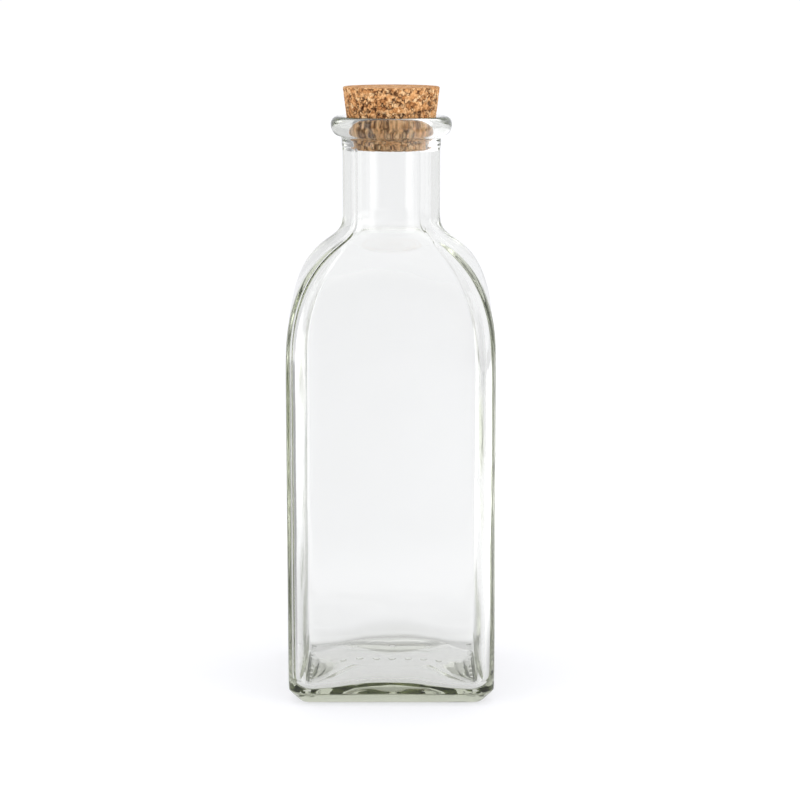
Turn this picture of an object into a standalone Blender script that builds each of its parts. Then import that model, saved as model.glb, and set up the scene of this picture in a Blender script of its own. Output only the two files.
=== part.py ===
"""A square clear-glass bottle with a round neck, and the tapered pressed-cork stopper in its mouth.

Lengths are given in millimetres and turned to metres as the meshes are made. The bottle stands on
z = 0 with its axis on the Z axis and its flat sides facing X and Y.
"""
import math

import bmesh
import bpy

MM = 0.001

# Glass body: a square prism with rounded upright corners
BODY_WIDTH = 67.0
BODY_CORNER = 7.5
BODY_WALL = 2.9
INNER_CORNER = 5.0

# Foot: a flat ring to stand on, a sloping heel round it and a hollow pushed up under the middle
HEEL_INSET = 3.8
HEEL_HEIGHT = 3.7
HEEL_EDGE = 0.5
FOOT_RING_WIDTH = 3.8
FOOT_CORNER = 3.7
PUNT_DEPTH = 3.0

# Floor inside: low in the corners, higher along the middles of the sides and over the punt
FLOOR_CORNER_HEIGHT = 3.9
FLOOR_SIDE_RISE = 2.6
FLOOR_DOME = 1.5
FLOOR_CORNER_REACH = 20.0
FLOOR_FILLET = 4.7

# Shoulder: a Bezier curve from the upright sides to the neck, outside and inside
SHOULDER_START = 112.5
SHOULDER_LOWER_HANDLE = 40.0
SHOULDER_UPPER_HANDLE = 10.4
NECK_START = 154.6
INNER_SHOULDER_START = 112.0
INNER_LOWER_HANDLE = 38.1
INNER_UPPER_HANDLE = 10.0
INNER_NECK_START = 152.4

# Neck and lip
NECK_RADIUS = 15.9
NECK_BAND_START = 177.4
NECK_BAND_END = 180.2
NECK_BAND_RELIEF = 0.25
LIP_RADIUS = 19.7
LIP_WIDEST = 184.6
LIP_CREST_RADIUS = 17.3
LIP_UNDERSIDE_STEP = 0.6
LIP_UNDERSIDE_SHARE = 0.18
GLASS_HEIGHT = 187.2

# Cork stopper: a cone pressed a little narrower where the bore grips it
CORK_TOP_RADIUS = 15.65
CORK_LIP_RADIUS = 14.45
CORK_FOOT_RADIUS = 12.45
CORK_TOP = 196.6
CORK_FOOT = 176.5
CORK_EDGE = 0.5

# Bore: follows the cork with a small gap, then runs straight down the neck
CORK_GAP = 0.3
BORE_RADIUS = CORK_FOOT_RADIUS + CORK_GAP
BORE_MOUTH_ROUNDING = 1.5

# Faceting
CORNER_STEPS = 10
SHOULDER_STEPS = 15
FLOOR_STEPS = 5
CURVE_STEPS = 4
CORK_STEPS = 48
SHARP_ANGLE = 35


def quarter_turn(steps):
    """The angles of a quarter circle's points, from 0 to 90 degrees, both ends included."""
    return [0.5 * math.pi * step / steps for step in range(steps + 1)]


def ring(half_width, corner_radius, height, lift=None):
    """A square ring with rounded corners, which is a circle where the two sizes are equal.

    As the ring grows rounder the corner arcs stop short of each other, so that the points of a
    circle are evenly spaced and none coincide. The ring is level, unless lift gives the further
    height of each of its points.
    """
    even_gap = 0.25 * math.pi / (CORNER_STEPS + 1)
    gap = even_gap * (corner_radius / half_width) ** 4
    centre = half_width - corner_radius
    points = []
    for corner in range(4):
        start = 0.5 * math.pi * corner + gap
        side_x = 1 if corner in (0, 3) else -1
        side_y = 1 if corner in (0, 1) else -1
        for step in range(CORNER_STEPS + 1):
            angle = start + (0.5 * math.pi - 2 * gap) * step / CORNER_STEPS
            x = centre * side_x + corner_radius * math.cos(angle)
            y = centre * side_y + corner_radius * math.sin(angle)
            level = height + lift(x, y) if lift else height
            points.append((x * MM, y * MM, level * MM))
    return points


def punt_lift(x, y):
    """The hollow's height under the base: a low dome, a little squarish, inside the foot ring."""
    reach = 0.5 * BODY_WIDTH - HEEL_INSET - FOOT_RING_WIDTH
    return PUNT_DEPTH * max(0, 1 - math.hypot(x * x, y * y) / reach ** 2)


def floor_lift(x, y):
    """How far the floor stands above its corners: full on the axes, almost nothing in the corners."""
    return FLOOR_SIDE_RISE / (1 + (x * y / FLOOR_CORNER_REACH ** 2) ** 4)


def bezier(start, start_handle, end_handle, end, share):
    """A point on a cubic Bezier curve between two pairs of numbers."""
    rest = 1 - share
    weights = (rest ** 3, 3 * share * rest ** 2, 3 * share ** 2 * rest, share ** 3)
    points = (start, start_handle, end_handle, end)
    return tuple(sum(w * p[axis] for w, p in zip(weights, points)) for axis in (0, 1))


def shoulder_rings(half_width, corner, neck_radius, start, lower_handle, upper_handle, end):
    """Rings from the upright sides to the neck, growing round as they grow narrow."""
    rings = []
    for step in range(SHOULDER_STEPS + 1):
        width, height = bezier(
            (half_width, start),
            (half_width, start + lower_handle),
            (neck_radius, end - upper_handle),
            (neck_radius, end),
            step / SHOULDER_STEPS,
        )
        narrowing = (half_width - width) / (half_width - neck_radius)
        rings.append(ring(width, corner + (neck_radius - corner) * narrowing, height))
    return rings


def underside_rings():
    """Rings of the hollow under the base and of the flat ring round it, from the middle out."""
    foot = 0.5 * BODY_WIDTH - HEEL_INSET
    punt_edge = foot - FOOT_RING_WIDTH
    rings = []
    for step in range(1, FLOOR_STEPS + 1):
        share = step / FLOOR_STEPS
        half_width = punt_edge * share
        roundness = 1 - (1 - FOOT_CORNER / punt_edge) * share ** 2
        rings.append(ring(half_width, half_width * roundness, 0, punt_lift))
    rings.append(ring(foot - HEEL_EDGE, FOOT_CORNER, 0))
    return rings


def heel_rings():
    """Rings up the sloping heel, whose two edges are slightly blunted."""
    side = 0.5 * BODY_WIDTH
    foot = side - HEEL_INSET
    return [
        ring(foot + 0.5 * HEEL_EDGE, FOOT_CORNER, 0.5 * HEEL_EDGE),
        ring(side - 0.5 * HEEL_EDGE, BODY_CORNER - 0.5 * HEEL_EDGE, HEEL_HEIGHT - 0.5 * HEEL_EDGE),
        ring(side, BODY_CORNER, HEEL_HEIGHT + HEEL_EDGE),
    ]


def lip_rings():
    """Rings from the neck, over the thin band and the lip's bead, to the rounded mouth."""
    band = NECK_RADIUS + NECK_BAND_RELIEF
    bead_start = band + LIP_UNDERSIDE_SHARE * (LIP_RADIUS - band)
    underside = NECK_BAND_END + LIP_UNDERSIDE_STEP
    rings = [
        ring(NECK_RADIUS, NECK_RADIUS, NECK_BAND_START),
        ring(band, band, NECK_BAND_START + 2 * NECK_BAND_RELIEF),
        ring(band, band, NECK_BAND_END),
    ]
    for angle in quarter_turn(CURVE_STEPS):
        radius = bead_start + (LIP_RADIUS - bead_start) * math.sin(angle)
        height = LIP_WIDEST - (LIP_WIDEST - underside) * math.cos(angle)
        rings.append(ring(radius, radius, height))
    for angle in quarter_turn(CURVE_STEPS)[1:]:
        radius = LIP_CREST_RADIUS + (LIP_RADIUS - LIP_CREST_RADIUS) * math.cos(angle)
        height = LIP_WIDEST + (GLASS_HEIGHT - LIP_WIDEST) * math.sin(angle)
        rings.append(ring(radius, radius, height))
    return rings


def bore_radius(height):
    """The bore's radius beside the cork: the cork's own taper with the gap added."""
    taper = (CORK_LIP_RADIUS - CORK_FOOT_RADIUS) / (GLASS_HEIGHT - CORK_FOOT)
    return BORE_RADIUS + taper * max(height - CORK_FOOT, 0)


def bore_rings():
    """Rings from the mouth's rounding down the tapered seat of the cork."""
    seat_top = GLASS_HEIGHT - BORE_MOUTH_ROUNDING
    seat = bore_radius(seat_top)
    rings = []
    for angle in reversed(quarter_turn(CURVE_STEPS)):
        radius = seat + BORE_MOUTH_ROUNDING * (1 - math.cos(angle))
        height = seat_top + BORE_MOUTH_ROUNDING * math.sin(angle)
        rings.append(ring(radius, radius, height))
    rings.append(ring(BORE_RADIUS, BORE_RADIUS, CORK_FOOT))
    return rings


def floor_rings():
    """Rings down the fillet inside the walls and over the low dome, from the walls inwards."""
    side = 0.5 * BODY_WIDTH - BODY_WALL
    floor_edge = side - FLOOR_FILLET
    rings = []
    for angle in quarter_turn(CURVE_STEPS):
        half_width = floor_edge + FLOOR_FILLET * math.cos(angle)
        height = FLOOR_CORNER_HEIGHT + FLOOR_FILLET * (1 - math.sin(angle))
        rings.append(ring(half_width, INNER_CORNER, height, floor_lift))
    for step in range(1, FLOOR_STEPS):
        share = 1 - step / FLOOR_STEPS
        half_width = floor_edge * share
        roundness = 1 - (1 - INNER_CORNER / floor_edge) * share ** 2
        height = FLOOR_CORNER_HEIGHT + FLOOR_DOME * (1 - share ** 2)
        rings.append(ring(half_width, half_width * roundness, height, floor_lift))
    return rings


def bottle_rings():
    """Every ring of the bottle, from the underside's middle, up the outside and down the inside."""
    side = 0.5 * BODY_WIDTH
    outer = shoulder_rings(
        side, BODY_CORNER, NECK_RADIUS,
        SHOULDER_START, SHOULDER_LOWER_HANDLE, SHOULDER_UPPER_HANDLE, NECK_START,
    )
    inner = shoulder_rings(
        side - BODY_WALL, INNER_CORNER, BORE_RADIUS,
        INNER_SHOULDER_START, INNER_LOWER_HANDLE, INNER_UPPER_HANDLE, INNER_NECK_START,
    )
    return [
        *underside_rings(), *heel_rings(), *outer, *lip_rings(),
        *bore_rings(), *reversed(inner), *floor_rings(),
    ]


def loft_mesh(name, rings, first_centre, last_centre):
    """A closed mesh through rings of equal count, capped by a fan of faces at each end."""
    surface = bmesh.new()
    first = surface.verts.new(first_centre)
    last = surface.verts.new(last_centre)
    loops = [[surface.verts.new(point) for point in points] for points in rings]
    count = len(loops[0])
    for lower, upper in zip(loops, loops[1:]):
        for index in range(count):
            following = (index + 1) % count
            surface.faces.new((lower[index], lower[following], upper[following], upper[index]))
    for index in range(count):
        following = (index + 1) % count
        surface.faces.new((first, loops[0][following], loops[0][index]))
        surface.faces.new((last, loops[-1][index], loops[-1][following]))
    bmesh.ops.recalc_face_normals(surface, faces=surface.faces)
    mesh = bpy.data.meshes.new(name)
    surface.to_mesh(mesh)
    surface.free()
    mesh.shade_smooth()
    mesh.set_sharp_from_angle(angle=math.radians(SHARP_ANGLE))
    return mesh


def principled_material(name, colour, roughness, transmission):
    """A plain material with the piece's own colour and gloss."""
    material = bpy.data.materials.new(name)
    material.use_nodes = True
    shader = material.node_tree.nodes["Principled BSDF"]
    shader.inputs["Base Color"].default_value = (*colour, 1)
    shader.inputs["Roughness"].default_value = roughness
    shader.inputs["Metallic"].default_value = 0
    shader.inputs["Transmission Weight"].default_value = transmission
    return material


def make_bottle(collection):
    """The bottle: one piece of glass from its foot to its lip."""
    mesh = loft_mesh(
        "glass_bottle",
        bottle_rings(),
        (0, 0, PUNT_DEPTH * MM),
        (0, 0, (FLOOR_CORNER_HEIGHT + FLOOR_SIDE_RISE + FLOOR_DOME) * MM),
    )
    bottle = bpy.data.objects.new("glass_bottle", mesh)
    mesh.materials.append(principled_material("clear_glass", (0.93, 0.96, 0.94), 0.03, 1))
    collection.objects.link(bottle)
    return bottle


def make_cork(collection):
    """The stopper: a tapered cork turned about the Z axis, with its top well above the lip."""
    profile = [
        (0, CORK_TOP),
        (CORK_TOP_RADIUS - CORK_EDGE, CORK_TOP),
        (CORK_TOP_RADIUS, CORK_TOP - CORK_EDGE),
        (CORK_LIP_RADIUS, GLASS_HEIGHT),
        (CORK_FOOT_RADIUS, CORK_FOOT + CORK_EDGE),
        (CORK_FOOT_RADIUS - CORK_EDGE, CORK_FOOT),
        (0, CORK_FOOT),
    ]
    mesh = bpy.data.meshes.new("cork_stopper")
    points = [(radius * MM, 0, (height - CORK_FOOT) * MM) for radius, height in profile]
    mesh.from_pydata(points, [(index, index + 1) for index in range(len(points) - 1)], [])
    cork = bpy.data.objects.new("cork_stopper", mesh)
    mesh.materials.append(principled_material("pressed_cork", (0.60, 0.36, 0.17), 0.9, 0))
    turn = cork.modifiers.new("turn", "SCREW")
    turn.steps = CORK_STEPS
    turn.render_steps = CORK_STEPS
    turn.use_merge_vertices = True
    turn.merge_threshold = 0.0001
    turn.use_smooth_shade = True
    cork.location = (0, 0, CORK_FOOT * MM)
    collection.objects.link(cork)
    return cork


def main():
    """Clears the scene and makes the two pieces in a collection of their own."""
    for item in list(bpy.data.objects):
        bpy.data.objects.remove(item, do_unlink=True)
    collection = bpy.data.collections.new("corked_bottle")
    bpy.context.scene.collection.children.link(collection)
    bottle = make_bottle(collection)
    cork = make_cork(collection)
    cork.parent = bottle


main()
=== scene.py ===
"""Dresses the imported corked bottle: clear glass with slightly uneven walls and a pressed-cork stopper."""
import logging
import math
import random
from dataclasses import dataclass, field
from enum import Enum
from typing import Callable, Iterator

import bmesh
import bpy
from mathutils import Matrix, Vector, noise
from mathutils.kdtree import KDTree


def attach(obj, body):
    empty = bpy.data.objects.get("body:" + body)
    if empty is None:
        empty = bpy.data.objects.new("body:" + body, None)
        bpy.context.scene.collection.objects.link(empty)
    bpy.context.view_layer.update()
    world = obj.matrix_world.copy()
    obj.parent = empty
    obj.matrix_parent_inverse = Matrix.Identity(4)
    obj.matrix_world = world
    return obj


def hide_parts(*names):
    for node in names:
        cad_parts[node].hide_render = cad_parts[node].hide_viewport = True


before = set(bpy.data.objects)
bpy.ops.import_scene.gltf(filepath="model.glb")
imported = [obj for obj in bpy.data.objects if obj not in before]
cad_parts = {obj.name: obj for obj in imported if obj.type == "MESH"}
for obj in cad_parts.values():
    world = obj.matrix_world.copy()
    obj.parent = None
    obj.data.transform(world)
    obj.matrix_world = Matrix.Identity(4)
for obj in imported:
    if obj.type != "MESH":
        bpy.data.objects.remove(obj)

LOG = logging.getLogger("corked_bottle")
ORIGIN = (0.0, 0.0, 0.0)
IMAGE_PIXELS = 800
HAIR = 1e-6
NEARLY_ROUND = 0.99999


class Slot(Enum):
    """The record's material slots."""

    GLASS = "glass"
    CORK = "cork"


class PickMode(Enum):
    """What an edit-mode selection is made of."""

    VERTICES = "VERT"
    EDGES = "EDGE"
    FACES = "FACE"


def deselect_all() -> None:
    """Leaves nothing selected and no object active, so that the next operator acts on its own piece."""
    bpy.ops.object.select_all(action="DESELECT")
    bpy.context.view_layer.objects.active = None


def make_active(piece: bpy.types.Object) -> None:
    """Selects one piece alone and makes it the active one.

    Args:
        piece: The object that the next operators work on.
    """
    deselect_all()
    piece.select_set(True)
    bpy.context.view_layer.objects.active = piece


def name_piece(name: str) -> bpy.types.Object:
    """Names the active object and its mesh.

    Args:
        name: The piece's name.

    Returns:
        The active object.
    """
    piece = bpy.context.object
    piece.name = name
    piece.data.name = name
    return piece


def join_pieces(pieces: list[bpy.types.Object]) -> bpy.types.Object:
    """Joins several objects into the first of them.

    Args:
        pieces: The objects to join.

    Returns:
        The joined object.
    """
    make_active(pieces[0])
    for piece in pieces[1:]:
        piece.select_set(True)
    bpy.ops.object.join()
    return bpy.context.object


def pick(piece: bpy.types.Object, mode: PickMode, wanted: Callable[[list[Vector]], bool]) -> int:
    """Selects the vertices, edges or faces whose corner points pass a test, and enters edit mode.

    Args:
        piece: The mesh object.
        mode: What is selected.
        wanted: The test, given the corner points of one element.

    Returns:
        How many elements are selected.
    """
    make_active(piece)
    bpy.ops.object.mode_set(mode="EDIT")
    bpy.ops.mesh.select_mode(type=mode.value)
    bpy.ops.mesh.select_all(action="DESELECT")
    cage = bmesh.from_edit_mesh(piece.data)
    elements = {PickMode.VERTICES: cage.verts, PickMode.EDGES: cage.edges, PickMode.FACES: cage.faces}[mode]
    count = 0
    for element in elements:
        corners = [element.co] if mode is PickMode.VERTICES else [v.co for v in element.verts]
        if wanted(corners):
            element.select_set(True)
            count += 1
    cage.select_flush_mode()
    bmesh.update_edit_mesh(piece.data)
    return count


def leave_edit() -> None:
    """Goes back to object mode."""
    bpy.ops.object.mode_set(mode="OBJECT")


def apply_modifier(piece: bpy.types.Object, kind: str, **settings: object) -> None:
    """Adds one modifier to a piece and applies it.

    Args:
        piece: The mesh object.
        kind: The modifier's type.
        **settings: Its values by name.
    """
    make_active(piece)
    modifier = piece.modifiers.new(kind.lower(), kind)
    for name, value in settings.items():
        setattr(modifier, name, value)
    bpy.ops.object.modifier_apply(modifier=modifier.name)


def raise_points(
        piece: bpy.types.Object, name: str, height: float, share: Callable[[Vector], float]) -> None:
    """Lifts a piece's points straight up, each by its own share of one height.

    Args:
        piece: The mesh object.
        name: The vertex group's name.
        height: The lift at a share of 1.
        share: The share at a point, from 0 to 1.
    """
    group = piece.vertex_groups.new(name=name)
    for vertex in piece.data.vertices:
        weight = share(vertex.co)
        if weight > 0:
            group.add([vertex.index], min(weight, 1.0), "REPLACE")
    apply_modifier(piece, "DISPLACE", vertex_group=name, strength=height, mid_level=0.0, direction="Z")


def bezier_point(ends: tuple[tuple[float, float], ...], share: float) -> tuple[float, float]:
    """A point on a cubic Bezier curve.

    Args:
        ends: The curve's four control points.
        share: How far along the curve, from 0 to 1.

    Returns:
        The point's two coordinates.
    """
    rest = 1 - share
    weights = (rest ** 3, 3 * share * rest ** 2, 3 * share ** 2 * rest, share ** 3)
    return tuple(sum(w * p[axis] for w, p in zip(weights, ends)) for axis in (0, 1))


def quarter_turn(steps: int) -> Iterator[float]:
    """The angles of a quarter circle in equal steps, both ends included."""
    return (0.5 * math.pi * step / steps for step in range(steps + 1))


@dataclass(frozen=True)
class ShoulderCurve:
    """The line from the upright side to the neck, as a Bezier curve of half width and height."""

    start: float
    lower_handle: float
    upper_handle: float
    end: float
    rounding_power: float = 1.35

    def levels(self, side: float, neck: float, steps: int) -> list[tuple[float, float, float]]:
        """The rings of the shoulder.

        Args:
            side: The half width below.
            neck: The radius above.
            steps: How many rings.

        Returns:
            For each ring, its half width, its height and how round it is, from 0 to 1.
        """
        ends = (
            (side, self.start), (side, self.start + self.lower_handle),
            (neck, self.end - self.upper_handle), (neck, self.end),
        )
        rings = []
        for step in range(1, steps + 1):
            width, height = bezier_point(ends, step / steps)
            narrowing = (side - width) / (side - neck)
            rings.append((width, height, 1 - (1 - narrowing) ** self.rounding_power))
        return rings


@dataclass
class RingTower:
    """A rounded square box, open at the top, that is grown upwards ring by ring."""

    name: str
    half_width: float
    corner: float
    bottom: float
    first_top: float
    corner_segments: int = 6
    side_segments: int = 8
    roundness: float = 0.0
    height: float = field(init=False)
    piece: bpy.types.Object = field(init=False)

    def __post_init__(self) -> None:
        """Makes the box: a cube, its upright edges rounded, its top opened and its sides divided."""
        self.height = self.first_top
        deselect_all()
        bpy.ops.mesh.primitive_cube_add(size=1, location=ORIGIN)
        self.piece = name_piece(self.name)
        tall = self.first_top - self.bottom
        wide = 2 * self.half_width
        bpy.ops.object.mode_set(mode="EDIT")
        bpy.ops.mesh.select_all(action="SELECT")
        bpy.ops.transform.resize(value=(wide, wide, tall), center_override=ORIGIN)
        bpy.ops.transform.translate(value=(0, 0, self.bottom + 0.5 * tall))
        leave_edit()
        pick(self.piece, PickMode.EDGES, lambda ends: abs(ends[0].z - ends[1].z) > 0.5 * tall)
        bpy.ops.mesh.bevel(offset=self.corner, segments=self.corner_segments, affect="EDGES")
        leave_edit()
        pick(self.piece, PickMode.FACES, lambda ends: all(end.z > self.first_top - HAIR for end in ends))
        bpy.ops.mesh.delete(type="ONLY_FACE")
        leave_edit()
        flat = self.half_width - self.corner
        pick(self.piece, PickMode.EDGES, lambda ends: (ends[0].xy - ends[1].xy).length > flat)
        bpy.ops.mesh.subdivide(number_cuts=self.side_segments - 1)
        leave_edit()

    def pick_rim(self) -> None:
        """Selects the open rim's edges and stays in edit mode."""
        top = self.height - HAIR
        pick(self.piece, PickMode.EDGES, lambda ends: all(end.z > top for end in ends))

    def rim_radii(self) -> list[float]:
        """How far each selected point lies from the axis."""
        cage = bmesh.from_edit_mesh(self.piece.data)
        return [point.co.xy.length for point in cage.verts if point.select]

    def grow(self, half_width: float, height: float, roundness: float) -> None:
        """Extrudes the selected rim to a new ring.

        Args:
            half_width: The new ring's half width across the flats.
            height: Its height.
            roundness: 0 for the box's own square, 1 for a circle.
        """
        bpy.ops.mesh.extrude_edges_move(TRANSFORM_OT_translate={"value": (0, 0, height - self.height)})
        share = 1 - (1 - roundness) / (1 - self.roundness) if roundness > self.roundness else 0.0
        if share:
            bpy.ops.transform.tosphere(value=min(share, 1.0))
            self.roundness = min(roundness, NEARLY_ROUND)
        factor = half_width / min(self.rim_radii())
        bpy.ops.transform.resize(value=(factor, factor, 1), center_override=(0, 0, height))
        self.height = height

    def grow_all(self, rings: list[tuple[float, float, float]]) -> None:
        """Grows the tower through a list of rings and leaves edit mode.

        Args:
            rings: Half width, height and roundness of each ring.
        """
        self.pick_rim()
        for half_width, height, roundness in rings:
            self.grow(half_width, height, roundness)
        leave_edit()

    def round_bottom(self, offset: float, segments: int) -> None:
        """Bevels the edges round the bottom face.

        Args:
            offset: The bevel's width.
            segments: Its steps.
        """
        low = self.bottom + HAIR
        pick(self.piece, PickMode.EDGES, lambda ends: all(end.z < low for end in ends))
        bpy.ops.mesh.bevel(offset=offset, segments=segments, affect="EDGES")
        leave_edit()

    def divide_bottom(self, half_widths: list[float]) -> None:
        """Cuts the flat bottom face into square rings and a grid, ready to be shaped.

        Args:
            half_widths: The half width of each ring, from the outside in.
        """
        level = self.bottom
        pick(self.piece, PickMode.FACES, lambda ends: all(end.z < level + HAIR for end in ends))
        width = max(abs(v.co.x) for v in bmesh.from_edit_mesh(self.piece.data).verts if v.select)
        for half_width in half_widths:
            bpy.ops.mesh.extrude_region_move(TRANSFORM_OT_translate={"value": (0, 0, 0)})
            factor = half_width / width
            bpy.ops.transform.resize(value=(factor, factor, 1), center_override=(0, 0, level))
            width = half_width
        bpy.ops.mesh.delete(type="ONLY_FACE")
        leave_edit()
        pick(self.piece, PickMode.EDGES, lambda ends: all(
            abs(end.z - level) < HAIR and max(abs(end.x), abs(end.y)) < width + HAIR for end in ends))
        bpy.ops.mesh.fill_grid(span=self.corner_segments + self.side_segments)
        leave_edit()


@dataclass
class GlassBottle:
    """The bottle: an outer and an inner tower joined at the lip, with marks under the foot."""

    half_width: float = 0.0335
    corner: float = 0.0075
    wall: float = 0.0029
    inner_corner: float = 0.0050
    first_ring: float = 0.014
    heel: float = 0.0038
    heel_edge: float = 0.0005
    heel_edge_steps: int = 2
    foot_ring: float = 0.0038
    punt_depth: float = 0.0030
    punt_rings: tuple[float, ...] = (1.0, 0.93, 0.82, 0.68, 0.5)
    floor_corner_height: float = 0.0039
    floor_side_rise: float = 0.0026
    floor_dome: float = 0.0015
    floor_corner_reach: float = 0.020
    floor_fillet: float = 0.0047
    floor_fillet_steps: int = 4
    floor_rings: tuple[float, ...] = (0.94, 0.82, 0.68, 0.5)
    body_ring_gap: float = 0.011
    shoulder: ShoulderCurve = ShoulderCurve(0.1125, 0.0400, 0.0104, 0.1546)
    inner_shoulder: ShoulderCurve = ShoulderCurve(0.1120, 0.0381, 0.0130, 0.1544)
    shoulder_steps: int = 13
    neck_radius: float = 0.0159
    neck_rings: tuple[float, ...] = (0.1585, 0.165, 0.171)
    band_start: float = 0.1774
    band_end: float = 0.1802
    band_relief: float = 0.00025
    band_step: float = 0.0004
    band_foot_share: float = 0.2
    lip_radius: float = 0.0197
    lip_widest: float = 0.1846
    lip_underside_step: float = 0.0006
    lip_underside_share: float = 0.18
    lip_steps: int = 5
    crest_radius: float = 0.0173
    top: float = 0.1872
    bore_radius: float = 0.01275
    bore_rings: tuple[float, ...] = (0.158, 0.163, 0.169, 0.174, 0.1759)
    seat_foot: float = 0.1765
    seat_radius: float = 0.01447
    seat_steps: int = 4
    mouth_rounding: float = 0.0015
    rim_turn: float = 0.02
    merge_distance: float = 0.00002
    subdivisions: int = 2
    settle_scale: float = 0.028
    settle_depth: float = 0.0007
    settle_top: float = 0.150
    settle_fade: float = 0.02
    neck_settle: float = 0.12
    settle_stop: float = 0.004
    seam_half: float = 0.0007
    seam_height: float = 0.0002
    seam_start: float = 0.006
    smooth_angle: float = 32.0
    piece: bpy.types.Object = field(init=False)

    def body_levels(self, start: float) -> list[float]:
        """The heights of the rings up the upright part of a wall, at an even gap.

        Args:
            start: Where the shoulder begins.

        Returns:
            The heights, the shoulder's start included.
        """
        count = round((start - self.first_ring) / self.body_ring_gap)
        return [self.first_ring + (start - self.first_ring) * step / count for step in range(1, count + 1)]

    def punt_height(self, x: float, y: float) -> float:
        """The hollow's height under the base at a point: a low dome, a little squarish.

        Args:
            x: The point's first coordinate.
            y: Its second coordinate.

        Returns:
            The height above the foot, nothing outside the hollow.
        """
        return self.punt_depth * max(0.0, 1 - math.hypot(x * x, y * y) / self.punt_reach() ** 2)

    def punt_reach(self) -> float:
        """The hollow's half width, inside the foot ring."""
        return self.half_width - self.heel - self.foot_ring

    def outer_tower(self) -> RingTower:
        """The outside of the bottle, from the punt to the lip's crest."""
        tower = RingTower("glass_outside", self.half_width, self.corner, 0.0, self.first_ring)
        tower.round_bottom(self.heel, 1)
        loops = (0.0, self.heel)
        pick(tower.piece, PickMode.EDGES, lambda ends: any(
            all(abs(end.z - level) < 10 * HAIR for end in ends) for level in loops))
        bpy.ops.mesh.bevel(offset=self.heel_edge, segments=self.heel_edge_steps, affect="EDGES")
        leave_edit()
        tower.divide_bottom([self.punt_reach() * share for share in self.punt_rings])
        raise_points(
            tower.piece, "punt", self.punt_depth,
            lambda point: self.punt_height(point.x, point.y) / self.punt_depth if point.z < HAIR else 0.0)
        tower.grow_all([
            *((self.half_width, height, 0.0) for height in self.body_levels(self.shoulder.start)),
            *self.shoulder.levels(self.half_width, self.neck_radius, self.shoulder_steps),
            *self.neck_levels(), *self.lip_levels(),
        ])
        return tower

    def neck_levels(self) -> list[tuple[float, float, float]]:
        """Rings of the straight neck and of the thin band under the lip."""
        band = self.neck_radius + self.band_relief
        step = self.band_step
        return [
            *((self.neck_radius, height, 1.0) for height in self.neck_rings),
            (self.neck_radius, self.band_start - step, 1.0),
            (self.neck_radius + self.band_foot_share * self.band_relief, self.band_start, 1.0),
            (band, self.band_start + step, 1.0),
            (band, self.band_start + 2 * step, 1.0),
            (band, self.band_end - step, 1.0),
        ]

    def lip_levels(self) -> list[tuple[float, float, float]]:
        """Rings of the lip's bead, from the band to the crest."""
        band = self.neck_radius + self.band_relief
        bead_start = band + self.lip_underside_share * (self.lip_radius - band)
        underside = self.band_end + self.lip_underside_step
        rings = [(band, self.band_end, 1.0)]
        for angle in quarter_turn(self.lip_steps):
            radius = bead_start + (self.lip_radius - bead_start) * math.sin(angle)
            height = self.lip_widest - (self.lip_widest - underside) * math.cos(angle)
            rings.append((radius, height, 1.0))
        for angle in list(quarter_turn(self.lip_steps))[1:]:
            radius = self.crest_radius + (self.lip_radius - self.crest_radius) * math.cos(angle)
            height = self.lip_widest + (self.top - self.lip_widest) * math.sin(angle)
            rings.append((radius, height, 1.0))
        return rings

    def inner_tower(self) -> RingTower:
        """The inside of the bottle, from the floor to the rounded mouth."""
        side = self.half_width - self.wall
        tower = RingTower(
            "glass_inside", side, self.inner_corner, self.floor_corner_height, self.first_ring)
        tower.round_bottom(self.floor_fillet, self.floor_fillet_steps)
        edge = side - self.floor_fillet
        tower.divide_bottom([edge * share for share in self.floor_rings])
        rise = self.floor_side_rise + self.floor_dome
        raise_points(tower.piece, "floor", rise, lambda point: self.floor_share(point, edge) / rise)
        tower.grow_all([
            *((side, height, 0.0) for height in self.body_levels(self.inner_shoulder.start)),
            *self.inner_shoulder.levels(side, self.bore_radius, self.shoulder_steps),
            *self.bore_levels(),
        ])
        return tower

    def floor_share(self, point: Vector, edge: float) -> float:
        """How far the floor stands above its corners at a point.

        Args:
            point: A point of the inner tower's bottom.
            edge: The half width inside the fillet.

        Returns:
            The lift in metres, nothing on the upright walls.
        """
        if point.z > self.first_ring - HAIR:
            return 0.0
        side_rise = self.floor_side_rise / (1 + (point.x * point.y / self.floor_corner_reach ** 2) ** 4)
        off_middle = min(max(abs(point.x), abs(point.y)) / edge, 1.0)
        return side_rise + self.floor_dome * (1 - off_middle ** 2)

    def bore_levels(self) -> list[tuple[float, float, float]]:
        """Rings of the bore: straight, then the cork's tapered seat, then the mouth's rounding."""
        rings = [(self.bore_radius, height, 1.0) for height in self.bore_rings]
        seat_top = self.top - self.mouth_rounding
        for step in range(self.seat_steps + 1):
            share = step / self.seat_steps
            radius = self.bore_radius + (self.seat_radius - self.bore_radius) * share
            rings.append((radius, self.seat_foot + (seat_top - self.seat_foot) * share, 1.0))
        for angle in list(quarter_turn(self.seat_steps))[1:]:
            radius = self.seat_radius + self.mouth_rounding * (1 - math.cos(angle))
            rings.append((radius, seat_top + self.mouth_rounding * math.sin(angle), 1.0))
        return [*rings, (self.crest_radius, self.top, 1.0)]

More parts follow.
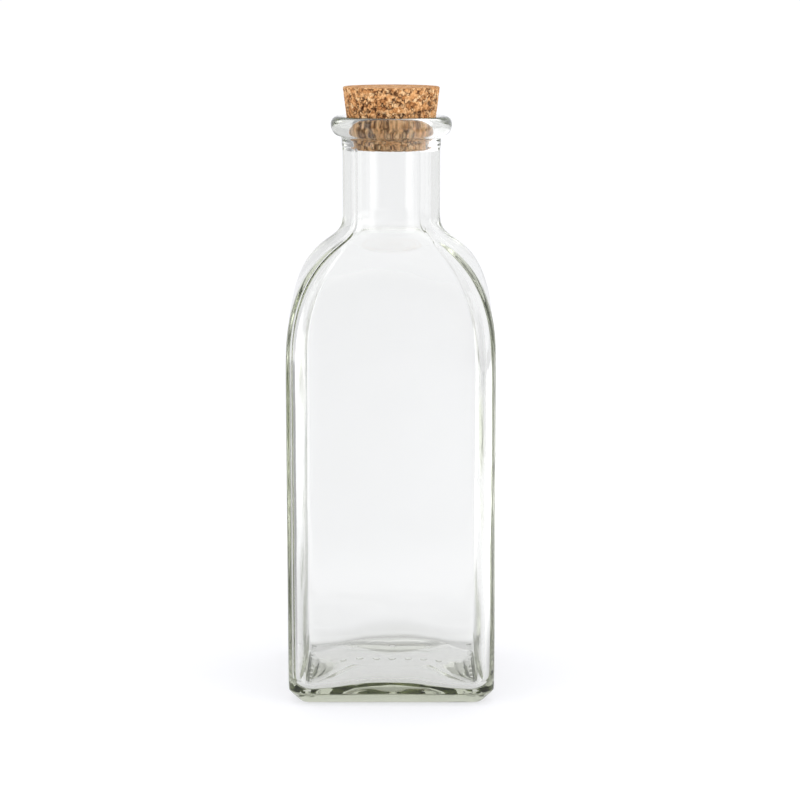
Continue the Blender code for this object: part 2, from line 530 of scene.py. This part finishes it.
    def settle_walls(self) -> None:
        """Makes the inner wall slightly uneven, as blown glass is: most in the body, none at the cork."""
        group = self.piece.vertex_groups["inside"]
        for vertex in self.piece.data.vertices:
            held = [entry.weight for entry in vertex.groups if entry.group == group.index]
            if held:
                least = self.neck_settle if vertex.co.z < self.seat_foot - self.settle_stop else 0.0
                fade = min(max((self.settle_top - vertex.co.z) / self.settle_fade, least), 1.0)
                group.add([vertex.index], held[0] * fade, "REPLACE")
        swirl = bpy.data.textures.new("settle", "CLOUDS")
        swirl.noise_scale = self.settle_scale
        swirl.noise_depth = 1
        apply_modifier(
            self.piece, "DISPLACE", texture=swirl, texture_coords="LOCAL", vertex_group="inside",
            strength=self.settle_depth, mid_level=0.5, direction="NORMAL")

    def raise_seam(self) -> None:
        """Raises the fine mould seam up two opposite corners, from the heel to the band."""
        seam = self.piece.vertex_groups.new(name="seam")
        inside = self.piece.vertex_groups["inside"].index
        for vertex in self.piece.data.vertices:
            x, y, z = vertex.co
            off = abs(x - y) / math.sqrt(2)
            outer = not any(entry.group == inside for entry in vertex.groups)
            if outer and off < self.seam_half and self.seam_start < z < self.band_start:
                seam.add([vertex.index], 1 - off / self.seam_half, "REPLACE")
        apply_modifier(
            self.piece, "DISPLACE", vertex_group="seam", strength=self.seam_height, mid_level=0.0,
            direction="NORMAL")

    def crest(self, tower: RingTower) -> list[bpy.types.MeshVertex]:
        """The points of a tower's last ring.

        Args:
            tower: The outer or the inner tower.

        Returns:
            The points in turn round the lip, so that the two towers' points pair up.
        """
        least = self.crest_radius - 0.5 * self.mouth_rounding
        rim = [
            point for point in tower.piece.data.vertices
            if point.co.z > self.top - HAIR and point.co.xy.length > least]
        return sorted(
            rim, key=lambda point: (math.atan2(point.co.y, point.co.x) - self.rim_turn) % math.tau)

    def build(self) -> bpy.types.Object:
        """Joins the two towers at the lip and finishes the glass.

        Returns:
            The finished piece.
        """
        outer = self.outer_tower()
        inner = self.inner_tower()
        for point, mate in zip(self.crest(inner), self.crest(outer)):
            point.co = mate.co
        inside = inner.piece.vertex_groups.new(name="inside")
        for vertex in inner.piece.data.vertices:
            inside.add([vertex.index], 1.0, "REPLACE")
        self.piece = join_pieces([outer.piece, inner.piece])
        pick(self.piece, PickMode.VERTICES, lambda ends: ends[0].z > self.top - HAIR)
        bpy.ops.mesh.remove_doubles(threshold=self.merge_distance)
        bpy.ops.mesh.select_all(action="SELECT")
        bpy.ops.mesh.normals_make_consistent(inside=False)
        leave_edit()
        apply_modifier(
            self.piece, "SUBSURF", levels=self.subdivisions, render_levels=self.subdivisions)
        self.settle_walls()
        self.raise_seam()
        FootMarks(self.piece, self.punt_height).mark()
        make_active(self.piece)
        name_piece("glass_bottle_fine")
        bpy.ops.object.shade_smooth_by_angle(angle=math.radians(self.smooth_angle))
        return self.piece


@dataclass
class FootMarks:
    """Marks under the base: grooves across two sides of the foot ring and plain pips in the hollow."""

    glass: bpy.types.Object
    hollow: Callable[[float, float], float]
    ring_middle: float = 0.0278
    ring_reach: float = 0.0240
    groove_length: float = 0.0034
    groove_width: float = 0.0020
    groove_depth: float = 0.0006
    pitch: float = 0.0040
    pip_radius: float = 0.0012
    pip_rise: float = 0.0004
    pip_segments: int = 16
    pip_steps: int = 10
    pip_rows: tuple[tuple[float, int, float], ...] = ((-0.002, 7, 0.0052), (0.013, 3, 0.0120))

    def grooves(self) -> list[bpy.types.Object]:
        """The cutters of the short grooves, along the ring's left and right sides."""
        made = []
        count = round(2 * self.ring_reach / self.pitch)
        for side in (-1, 1):
            for number in range(count + 1):
                along = -self.ring_reach + 2 * self.ring_reach * number / count
                deselect_all()
                bpy.ops.mesh.primitive_cube_add(
                    size=1, location=(side * self.ring_middle, along, 0),
                    scale=(self.groove_length, self.groove_width, 2 * self.groove_depth))
                made.append(bpy.context.object)
        return made

    def pips(self) -> list[bpy.types.Object]:
        """The low round pips in rows across the hollow."""
        made = []
        for y, count, gap in self.pip_rows:
            for number in range(count):
                x = (number - 0.5 * (count - 1)) * gap
                deselect_all()
                bpy.ops.mesh.primitive_uv_sphere_add(
                    segments=self.pip_segments, ring_count=self.pip_steps, radius=self.pip_radius,
                    location=(x, y, self.hollow(x, y)), scale=(1, 1, self.pip_rise / self.pip_radius))
                made.append(bpy.context.object)
        return made

    def combine(self, made: list[bpy.types.Object], operation: str) -> None:
        """Cuts a set of marks out of the glass or adds them to it.

        Args:
            made: The separate marks.
            operation: DIFFERENCE or UNION.
        """
        marks = join_pieces(made)
        make_active(marks)
        bpy.ops.object.transform_apply(location=True, rotation=True, scale=True)
        apply_modifier(self.glass, "BOOLEAN", operation=operation, object=marks, solver="MANIFOLD")
        bpy.data.objects.remove(marks, do_unlink=True)

    def mark(self) -> None:
        """Puts all the marks into the glass."""
        self.combine(self.grooves(), "DIFFERENCE")
        self.combine(self.pips(), "UNION")


@dataclass
class PressedCork:
    """The stopper: granules of cork pressed together and ground to a taper."""

    foot: float = 0.1765
    lip: float = 0.1872
    top: float = 0.1966
    foot_radius: float = 0.01245
    lip_radius: float = 0.01445
    top_radius: float = 0.01565
    edge: float = 0.0005
    edge_steps: int = 3
    around: int = 96
    voxel: float = 0.00022
    smoothing: float = 0.5
    smoothing_rounds: int = 3
    granule: float = 0.00115
    flatness: float = 0.75
    spread: tuple[float, float] = (0.7, 1.35)
    neighbours: int = 5
    warp: float = 0.0005
    warp_scale: float = 900.0
    crevice_width: float = 0.00017
    crevice_depth: float = 0.00032
    open_scale: float = 700.0
    open_contrast: float = 2.2
    open_level: float = 0.72
    pit_depth: float = 0.0006
    pit_share: float = 0.05
    pit_edge: float = 0.0004
    pit_painted_shade: float = 0.85
    rim_guard: float = 0.0007
    sanded: float = 0.5
    squeezed_and_lit: float = 0.85
    paler: float = 0.6
    seed: int = 11
    piece: bpy.types.Object = field(init=False)

    def blank(self) -> None:
        """Makes the smooth taper: a disc extruded twice, with rounded rims, meshed finely all over."""
        deselect_all()
        bpy.ops.mesh.primitive_circle_add(
            vertices=self.around, radius=self.foot_radius, fill_type="NGON", location=(0, 0, self.foot))
        self.piece = name_piece("cork_fine")
        bpy.ops.object.transform_apply(location=True, rotation=True, scale=True)
        bpy.ops.object.mode_set(mode="EDIT")
        bpy.ops.mesh.select_all(action="SELECT")
        radius, level = self.foot_radius, self.foot
        for wider, higher in ((self.lip_radius, self.lip), (self.top_radius, self.top)):
            bpy.ops.mesh.extrude_region_move(TRANSFORM_OT_translate={"value": (0, 0, higher - level)})
            factor = wider / radius
            bpy.ops.transform.resize(value=(factor, factor, 1), center_override=(0, 0, higher))
            radius, level = wider, higher
        leave_edit()
        self.close_foot()
        ends = (self.foot, self.top)
        pick(self.piece, PickMode.EDGES, lambda points: any(
            all(abs(point.z - end) < HAIR for point in points) for end in ends))
        bpy.ops.mesh.bevel(offset=self.edge, segments=self.edge_steps, affect="EDGES")
        leave_edit()
        apply_modifier(self.piece, "REMESH", mode="VOXEL", voxel_size=self.voxel)
        apply_modifier(self.piece, "SMOOTH", factor=self.smoothing, iterations=self.smoothing_rounds)

    def close_foot(self) -> None:
        """Fills the foot, which the extrusion left open, and turns all faces outwards."""
        low = self.foot + HAIR
        pick(self.piece, PickMode.EDGES, lambda points: all(point.z < low for point in points))
        bpy.ops.mesh.edge_face_add()
        bpy.ops.mesh.select_all(action="SELECT")
        bpy.ops.mesh.normals_make_consistent(inside=False)
        leave_edit()

    def seeds(self, draw: random.Random) -> tuple[KDTree, list[tuple[float, float, bool]]]:
        """Scatters the granules' middles through the cork.

        Args:
            draw: The seeded source of random numbers.

        Returns:
            The tree of the middles, and for each its size, its tone and whether it has fallen out.
        """
        reach = math.ceil(self.top_radius / self.granule) + 1
        layer_gap = self.granule * self.flatness
        layers = math.ceil((self.top - self.foot) / layer_gap) + 1
        middles = []
        for column in range(-reach, reach + 1):
            for row in range(-reach, reach + 1):
                for layer in range(-1, layers + 1):
                    jitter = [draw.uniform(-0.5, 0.5) for _ in range(3)]
                    middles.append(Vector((
                        (column + jitter[0]) * self.granule, (row + jitter[1]) * self.granule,
                        self.foot + (layer + jitter[2]) * layer_gap)))
        tree = KDTree(len(middles))
        for index, middle in enumerate(middles):
            tree.insert(middle, index)
        tree.balance()
        kinds = [
            (draw.uniform(*self.spread), draw.random(), draw.random() < self.pit_share) for _ in middles]
        return tree, kinds

    def press_granules(self) -> None:
        """Sinks the crevices between granules and stores each point's tone and crevice for the finish."""
        mesh = self.piece.data
        tree, kinds = self.seeds(random.Random(self.seed))
        # Unseeded, noise_vector starts from the clock and gives another pattern each run
        noise.seed_set(self.seed)
        tones, crevices = [], []
        sunk = self.piece.vertex_groups.new(name="sunk")
        for vertex in mesh.vertices:
            place = vertex.co + noise.noise_vector(vertex.co * self.warp_scale) * self.warp
            near = sorted(
                (distance * kinds[index][0], index)
                for _, index, distance in tree.find_n(place, self.neighbours))
            gap = near[1][0] - near[0][0]
            _, shade, fallen = kinds[near[0][1]]
            swell = self.open_contrast * noise.noise(vertex.co * self.open_scale)
            open_share = min(max(swell + self.open_level, 0.0), 1.0)
            # The crevice share set here colours the crevices near-black in the finish: partly the cork's
            # own darker gaps, partly painted shade in the sunk crevices
            edge = math.exp(-((gap / self.crevice_width) ** 2)) * open_share
            guard = min(max((self.top - vertex.co.z) / self.rim_guard, 0.0), 1.0)
            # Holes where granules fell out are sunk and also painted dark: painted shade in the hollows
            hole = min(gap / self.pit_edge, 1.0) if fallen else 0.0
            depth = guard * (self.crevice_depth * edge + self.pit_depth * hole)
            tones.append(shade)
            open_part = self.sanded + (1 - self.sanded) * guard
            # Below the lip, where the cork is seen through the glass: paler granule tones and lighter
            # crevices, partly the cork's tighter pressing in the neck, partly painted light
            if vertex.co.z < self.lip - self.edge:
                open_part = self.squeezed_and_lit
                tones[-1] = self.paler + (1 - self.paler) * shade
            crevices.append(min(1.0, edge + self.pit_painted_shade * hole) * open_part)
            sunk.add([vertex.index], min(depth / self.pit_depth, 1.0), "REPLACE")
        for name, values in (("tone", tones), ("crevice", crevices)):
            mesh.attributes.new(name, "FLOAT", "POINT").data.foreach_set("value", values)
        apply_modifier(
            self.piece, "DISPLACE", vertex_group="sunk", strength=-self.pit_depth, mid_level=0.0,
            direction="NORMAL")

    def build(self) -> bpy.types.Object:
        """Makes the cork.

        Returns:
            The finished piece.
        """
        self.blank()
        self.press_granules()
        make_active(self.piece)
        bpy.ops.object.shade_smooth()
        return self.piece


def ripple_group() -> bpy.types.ShaderNodeTree:
    """The shared node group that makes a surface's fine unevenness from noise.

    Returns:
        The group, with a scale and a height going in and a normal coming out.
    """
    made = bpy.data.node_groups.get("surface_ripple")
    if made:
        return made
    group = bpy.data.node_groups.new("surface_ripple", "ShaderNodeTree")
    for name, value in (("Scale", 100.0), ("Height", 0.0001)):
        socket = group.interface.new_socket(name=name, in_out="INPUT", socket_type="NodeSocketFloat")
        socket.default_value = value
    group.interface.new_socket(name="Normal", in_out="OUTPUT", socket_type="NodeSocketVector")
    nodes, links = group.nodes, group.links
    start = nodes.new("NodeGroupInput")
    end = nodes.new("NodeGroupOutput")
    place = nodes.new("ShaderNodeTexCoord")
    waves = nodes.new("ShaderNodeTexNoise")
    bump = nodes.new("ShaderNodeBump")
    waves.inputs["Detail"].default_value = 2.0
    links.new(place.outputs["Object"], waves.inputs["Vector"])
    links.new(start.outputs["Scale"], waves.inputs["Scale"])
    links.new(waves.outputs["Fac"], bump.inputs["Height"])
    links.new(start.outputs["Height"], bump.inputs["Distance"])
    links.new(bump.outputs["Normal"], end.inputs["Normal"])
    return group


@dataclass(frozen=True)
class Ripple:
    """A fine unevenness of a surface."""

    scale: float
    height: float

    def add_to(self, material: bpy.types.Material) -> None:
        """Feeds the ripple to a material's normal.

        Args:
            material: The material, with its plain Principled shader.
        """
        nodes, links = material.node_tree.nodes, material.node_tree.links
        ripple = nodes.new("ShaderNodeGroup")
        ripple.node_tree = ripple_group()
        ripple.inputs["Scale"].default_value = self.scale
        ripple.inputs["Height"].default_value = self.height
        links.new(ripple.outputs["Normal"], nodes["Principled BSDF"].inputs["Normal"])


@dataclass(frozen=True)
class CorkFinish:
    """Pressed cork: tan and brown granules with grain, and dark crevices between them, partly the cork's
    own darker gaps and partly painted shade.
    """

    tones: tuple[tuple[float, tuple[float, float, float]], ...] = (
        (0.0, (0.32, 0.120, 0.038)),
        (0.08, (0.60, 0.275, 0.098)),
        (0.40, (0.82, 0.425, 0.170)),
        (0.75, (0.91, 0.53, 0.250)),
        (1.0, (0.98, 0.67, 0.37)),
    )
    # Near-black crevice colour: partly the cork's own darker gaps, partly painted shade
    crevice: tuple[float, float, float] = (0.032, 0.007, 0.001)
    grain_scale: float = 1500.0
    grain_range: tuple[float, float] = (0.42, 0.62)
    grain_dark: tuple[float, float, float] = (0.62, 0.54, 0.46)
    roughness: float = 0.85
    specular: float = 0.25
    ripple: Ripple = Ripple(scale=1800.0, height=0.0001)

    def make(self) -> bpy.types.Material:
        """Makes the material from the mesh's own tone and crevice attributes.

        Returns:
            The material.
        """
        material = bpy.data.materials.new("pressed_cork")
        material.use_nodes = True
        nodes, links = material.node_tree.nodes, material.node_tree.links
        shader = nodes["Principled BSDF"]
        tone, crevice = nodes.new("ShaderNodeAttribute"), nodes.new("ShaderNodeAttribute")
        tone.attribute_name = "tone"
        crevice.attribute_name = "crevice"
        ramp = nodes.new("ShaderNodeValToRGB")
        stops = ramp.color_ramp.elements
        stops[0].position, stops[0].color = self.tones[0][0], (*self.tones[0][1], 1)
        stops[1].position, stops[1].color = self.tones[-1][0], (*self.tones[-1][1], 1)
        for position, colour in self.tones[1:-1]:
            stops.new(position).color = (*colour, 1)
        links.new(tone.outputs["Fac"], ramp.inputs["Fac"])
        place, grain = nodes.new("ShaderNodeTexCoord"), nodes.new("ShaderNodeTexNoise")
        grain.inputs["Scale"].default_value = self.grain_scale
        links.new(place.outputs["Object"], grain.inputs["Vector"])
        contrast = nodes.new("ShaderNodeMapRange")
        for name, edge in zip(("From Min", "From Max"), self.grain_range):
            contrast.inputs[name].default_value = edge
        links.new(grain.outputs["Fac"], contrast.inputs["Value"])
        speckled = self.mix(
            material, "MULTIPLY", ramp.outputs["Color"], self.grain_dark, contrast.outputs["Result"])
        sunk = self.mix(material, "MIX", speckled, self.crevice, crevice.outputs["Fac"])
        links.new(sunk, shader.inputs["Base Color"])
        shader.inputs["Roughness"].default_value = self.roughness
        shader.inputs["Specular IOR Level"].default_value = self.specular
        self.ripple.add_to(material)
        return material

    def mix(self, material: bpy.types.Material, blend: str, under: bpy.types.NodeSocket,
            over: tuple[float, float, float], factor: bpy.types.NodeSocket) -> bpy.types.NodeSocket:
        """Adds one colour mix.

        Args:
            material: The material.
            blend: The blend type.
            under: The colour below.
            over: The colour laid over it.
            factor: How much of it.

        Returns:
            The mixed colour.
        """
        nodes, links = material.node_tree.nodes, material.node_tree.links
        node = nodes.new("ShaderNodeMix")
        node.data_type = "RGBA"
        node.blend_type = blend
        links.new(factor, node.inputs["Factor"])
        links.new(under, node.inputs["A"])
        node.inputs["B"].default_value = (*over, 1)
        return node.outputs["Result"]


@dataclass(frozen=True)
class GlassFinish:
    """Clear soda-lime glass: polished, faintly rippled, olive where light runs far inside it."""

    ior: float = 1.52
    absorbed: tuple[float, float, float] = (0.42, 0.47, 0.20)
    density: float = 13.5
    ripple: Ripple = Ripple(scale=55.0, height=0.00012)

    def make(self) -> bpy.types.Material:
        """Makes the material.

        Returns:
            The material.
        """
        material = bpy.data.materials.new("clear_glass")
        material.use_nodes = True
        nodes, links = material.node_tree.nodes, material.node_tree.links
        shader = nodes["Principled BSDF"]
        shader.inputs["Base Color"].default_value = (1, 1, 1, 1)
        shader.inputs["Roughness"].default_value = 0.0
        shader.inputs["IOR"].default_value = self.ior
        shader.inputs["Transmission Weight"].default_value = 1.0
        absorb = nodes.new("ShaderNodeVolumeAbsorption")
        absorb.inputs["Color"].default_value = (*self.absorbed, 1)
        absorb.inputs["Density"].default_value = self.density
        links.new(absorb.outputs[0], nodes["Material Output"].inputs["Volume"])
        self.ripple.add_to(material)
        return material


@dataclass(frozen=True)
class SoftBox:
    """One soft rectangular light that faces the bottle and that the camera doesn't see."""

    name: str
    azimuth: float
    distance: float
    height: float
    width: float
    tall: float
    power: float
    aim_height: float = 0.10

    def add(self) -> None:
        """Adds the light to the scene."""
        lamp = bpy.data.lights.new(self.name, "AREA")
        lamp.shape = "RECTANGLE"
        lamp.size = self.width
        lamp.size_y = self.tall
        lamp.energy = self.power
        stand = bpy.data.objects.new(self.name, lamp)
        turn = math.radians(self.azimuth)
        stand.location = (self.distance * math.sin(turn), -self.distance * math.cos(turn), self.height)
        aim = Vector((0, 0, self.aim_height)) - stand.location
        stand.rotation_euler = aim.to_track_quat("-Z", "Y").to_euler()
        stand.visible_camera = False
        bpy.context.scene.collection.objects.link(stand)


@dataclass
class Studio:
    """A pale floor, soft light and the camera at the photograph's angle.

    The floor glows a little, as a light table does. To rays that have been mirrored in the glass,
    the floor's colour carries painted shade and painted light: darker on the left, brighter on the right,
    a little darker close behind the bottle and much darker in front, in place of boards that are not there.
    The surroundings' light is dimmer on the left and in front, as boards that stand round a glass make it
    in a studio. To all other rays both are even.
    """

    distance: float = 0.7165
    camera_height: float = 0.2261
    side_step: float = 0.0028
    pitch: float = math.radians(10.43)
    focal_pixels: float = 2212.0
    sensor: float = 36.0
    floor_size: float = 8.0
    floor_level: float = -0.0002
    floor_white: float = 0.48
    floor_glow: float = 0.565
    surrounding: float = 1.06
    sky_tint: tuple[float, float, float] = (0.965, 0.968, 1.0)
    floor_tint: tuple[float, float, float] = (0.985, 0.987, 1.0)
    # The floor's levels below are painted shade and painted light, seen only by mirrored rays; the sky's
    # levels dim the surroundings' light
    painted_shade_behind: float = 0.7
    near_behind: tuple[float, float] = (-0.03, 0.01)
    floor_painted_sides: tuple[float, float] = (0.43, 2.3)
    sky_cards: tuple[float, float] = (0.75, 1.0)
    floor_side_gap: float = 0.12
    sky_gap: float = 1.0
    painted_sides_start: tuple[float, float] = (0.06, 0.22)
    painted_sides_end: tuple[float, float] = (0.70, 1.05)
    front_dimming: float = 0.25
    front_floor: tuple[float, float] = (-0.14, -0.06)
    front_sky: tuple[float, float] = (-0.6, 0.1)
    bounces: int = 96
    boxes: tuple[SoftBox, ...] = (
        SoftBox("box_left", azimuth=-50.0, distance=0.55, height=0.30, width=0.20, tall=0.6, power=0.45),
        SoftBox("box_right", azimuth=50.0, distance=0.55, height=0.30, width=0.24, tall=0.6, power=0.60),
    )

    def add_camera(self) -> None:
        """Adds the camera and makes it the scene's own."""
        lens = bpy.data.cameras.new("camera")
        lens.sensor_width = self.sensor
        lens.lens = self.focal_pixels * self.sensor / IMAGE_PIXELS
        camera = bpy.data.objects.new("camera", lens)
        camera.location = (self.side_step, -self.distance, self.camera_height)
        camera.rotation_euler = (0.5 * math.pi - self.pitch, 0, 0)
        bpy.context.scene.collection.objects.link(camera)
        bpy.context.scene.camera = camera

    def side_level(self, tree: bpy.types.NodeTree, across: bpy.types.NodeSocket, gap: float,
                   by_place: tuple[float, float]) -> bpy.types.NodeSocket:
        """The brightness on the left and on the right.

        Args:
            tree: The node tree that it goes into.
            across: A value that runs from left to right.
            gap: How far from the middle the two sides' levels are reached.
            by_place: The left and the right side's level.

        Returns:
            The level's socket.
        """
        side = tree.nodes.new("ShaderNodeMapRange")
        side.interpolation_type = "SMOOTHSTEP"
        side.inputs["From Min"].default_value, side.inputs["From Max"].default_value = -gap, gap
        side.inputs["To Min"].default_value, side.inputs["To Max"].default_value = by_place
        tree.links.new(across, side.inputs["Value"])
        return side.outputs["Result"]

    def blend(self, tree: bpy.types.NodeTree, value: bpy.types.NodeSocket, edges: tuple[float, float],
              below: bpy.types.NodeSocket | float,
              above: bpy.types.NodeSocket | float) -> bpy.types.NodeSocket:
        """Runs from one level to another as a value runs from one edge to the other.

        Args:
            tree: The node tree that it goes into.
            value: The value that decides.
            edges: Where the change starts and where it ends.
            below: The level before the first edge.
            above: The level past the second edge.

        Returns:
            The level's socket.
        """
        ramp = tree.nodes.new("ShaderNodeMapRange")
        ramp.inputs["From Min"].default_value, ramp.inputs["From Max"].default_value = edges
        tree.links.new(value, ramp.inputs["Value"])
        fade = tree.nodes.new("ShaderNodeMix")
        tree.links.new(ramp.outputs["Result"], fade.inputs["Factor"])
        for name, level in (("A", below), ("B", above)):
            if isinstance(level, float):
                fade.inputs[name].default_value = level
            else:
                tree.links.new(level, fade.inputs[name])
        return fade.outputs["Result"]

    def front_level(self, tree: bpy.types.NodeTree, along: bpy.types.NodeSocket,
                    by_place: bpy.types.NodeSocket, edges: tuple[float, float]) -> bpy.types.NodeSocket:
        """Darkens the level in front of the bottle. In the floor's colour this is painted shade; in the
        surroundings' light it is the dimness of an unlit room behind the camera.

        Args:
            tree: The node tree that it goes into.
            along: A value that runs from front to back.
            by_place: The level by place that it darkens.
            edges: Where the darkening is full and where it ends.

        Returns:
            The level's socket.
        """
        front = tree.nodes.new("ShaderNodeMapRange")
        front.inputs["From Min"].default_value, front.inputs["From Max"].default_value = edges
        front.inputs["To Min"].default_value = self.front_dimming
        both = tree.nodes.new("ShaderNodeMath")
        both.operation = "MULTIPLY"
        tree.links.new(along, front.inputs["Value"])
        tree.links.new(front.outputs["Result"], both.inputs[0])
        tree.links.new(by_place, both.inputs[1])
        return both.outputs[0]

    def mirrored_level(self, tree: bpy.types.NodeTree, by_place: bpy.types.NodeSocket) -> bpy.types.NodeSocket:
        """The level by place to rays that the glass has mirrored, and 1 to all other rays; in the floor's
        colour this level is painted shade and painted light.

        Args:
            tree: The node tree that it goes into.
            by_place: The level by place.

        Returns:
            The factor's socket.
        """
        path = tree.nodes.new("ShaderNodeLightPath")
        mirrored = tree.nodes.new("ShaderNodeMath")
        mirrored.operation = "MINIMUM"
        mirrored.inputs[1].default_value = 1.0
        choose = tree.nodes.new("ShaderNodeMix")
        choose.inputs["A"].default_value = 1.0
        tree.links.new(path.outputs["Glossy Depth"], mirrored.inputs[0])
        tree.links.new(mirrored.outputs[0], choose.inputs["Factor"])
        tree.links.new(by_place, choose.inputs["B"])
        return choose.outputs["Result"]

    def add_floor(self) -> None:
        """Adds the floor, whose painted shade and light for mirrored rays reach only a table's width from
        the bottle.
        """
        deselect_all()
        bpy.ops.mesh.primitive_plane_add(size=self.floor_size, location=(0, 0, self.floor_level))
        floor = name_piece("floor")
        material = bpy.data.materials.new("pale_floor")
        material.use_nodes = True
        tree = material.node_tree
        links, shader = tree.links, tree.nodes["Principled BSDF"]
        place = tree.nodes.new("ShaderNodeTexCoord").outputs["Object"]
        reach = tree.nodes.new("ShaderNodeVectorMath")
        reach.operation = "LENGTH"
        links.new(place, reach.inputs[0])
        distance = reach.outputs["Value"]
        split = tree.nodes.new("ShaderNodeSeparateXYZ")
        links.new(place, split.inputs[0])
        across, along = split.outputs["X"], split.outputs["Y"]
        # Painted shade and painted light for mirrored rays only: the floor's colour and glow are made
        # darker close behind the bottle, darker on the left, brighter on the right and darker in front, in
        # place of boards that are not there
        by_place = self.side_level(tree, across, self.floor_side_gap, self.floor_painted_sides)
        near = self.blend(tree, along, self.near_behind, 1.0, self.painted_shade_behind)
        around = self.blend(tree, distance, self.painted_sides_start, near, by_place)
        level = self.blend(tree, distance, self.painted_sides_end, around, 1.0)
        level = self.mirrored_level(tree, self.front_level(tree, along, level, self.front_floor))
        for name, white in (("Base Color", self.floor_white), ("Emission Color", self.floor_glow)):
            shade = tree.nodes.new("ShaderNodeVectorMath")
            shade.operation = "SCALE"
            shade.inputs[0].default_value = [white * share for share in self.floor_tint]
            links.new(level, shade.inputs["Scale"])
            links.new(shade.outputs[0], shader.inputs[name])
        shader.inputs["Emission Strength"].default_value = 1.0
        shader.inputs["Roughness"].default_value = 1.0
        shader.inputs["Specular IOR Level"].default_value = 0.0
        floor.data.materials.append(material)

    def add_world(self) -> None:
        """Adds the pale surroundings, even but for what the mirrored rays meet."""
        world = bpy.data.worlds.new("surroundings")
        bpy.context.scene.world = world
        world.use_nodes = True
        tree = world.node_tree
        background = tree.nodes["Background"]
        background.inputs["Color"].default_value = (*self.sky_tint, 1)
        split = tree.nodes.new("ShaderNodeSeparateXYZ")
        tree.links.new(tree.nodes.new("ShaderNodeTexCoord").outputs["Generated"], split.inputs[0])
        level = tree.nodes.new("ShaderNodeMath")
        level.operation = "MULTIPLY"
        level.inputs[1].default_value = self.surrounding
        by_place = self.side_level(tree, split.outputs["X"], self.sky_gap, self.sky_cards)
        fronted = self.front_level(tree, split.outputs["Y"], by_place, self.front_sky)
        tree.links.new(self.mirrored_level(tree, fronted), level.inputs[0])
        tree.links.new(level.outputs[0], background.inputs["Strength"])

    def set_view(self) -> None:
        """Sets the plain view transform and enough bounces for thick glass."""
        scene = bpy.context.scene
        scene.view_settings.view_transform = "Standard"
        scene.cycles.max_bounces = self.bounces
        scene.cycles.transmission_bounces = self.bounces
        scene.cycles.glossy_bounces = self.bounces
        scene.cycles.use_denoising = True

    def build(self) -> None:
        """Builds the whole set."""
        self.add_camera()
        self.add_floor()
        self.add_world()
        for box in self.boxes:
            box.add()
        self.set_view()


def dress(piece: bpy.types.Object, node: str, material: bpy.types.Material) -> None:
    """Gives a piece its finish and puts it in its node's place on the part's one body.

    Args:
        piece: The finished mesh.
        node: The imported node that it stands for.
        material: Its finish.
    """
    piece.data.materials.clear()
    piece.data.materials.append(material)
    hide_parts(node)
    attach(piece, "root")


def main() -> None:
    """Builds the studio and the pieces in order and reports each."""
    logging.basicConfig(level=logging.INFO, format="%(name)s: %(message)s")
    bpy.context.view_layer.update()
    studio = Studio()
    studio.build()
    LOG.info("studio: camera, floor, surroundings and %d soft boxes", len(studio.boxes))
    bottle = GlassBottle().build()
    dress(bottle, "glass_bottle", GlassFinish().make())
    LOG.info("%s: %d faces", bottle.name, len(bottle.data.polygons))
    cork = PressedCork().build()
    dress(cork, "cork_stopper", CorkFinish().make())
    LOG.info("%s: %d faces", cork.name, len(cork.data.polygons))


if __name__ == "__main__":
    main()
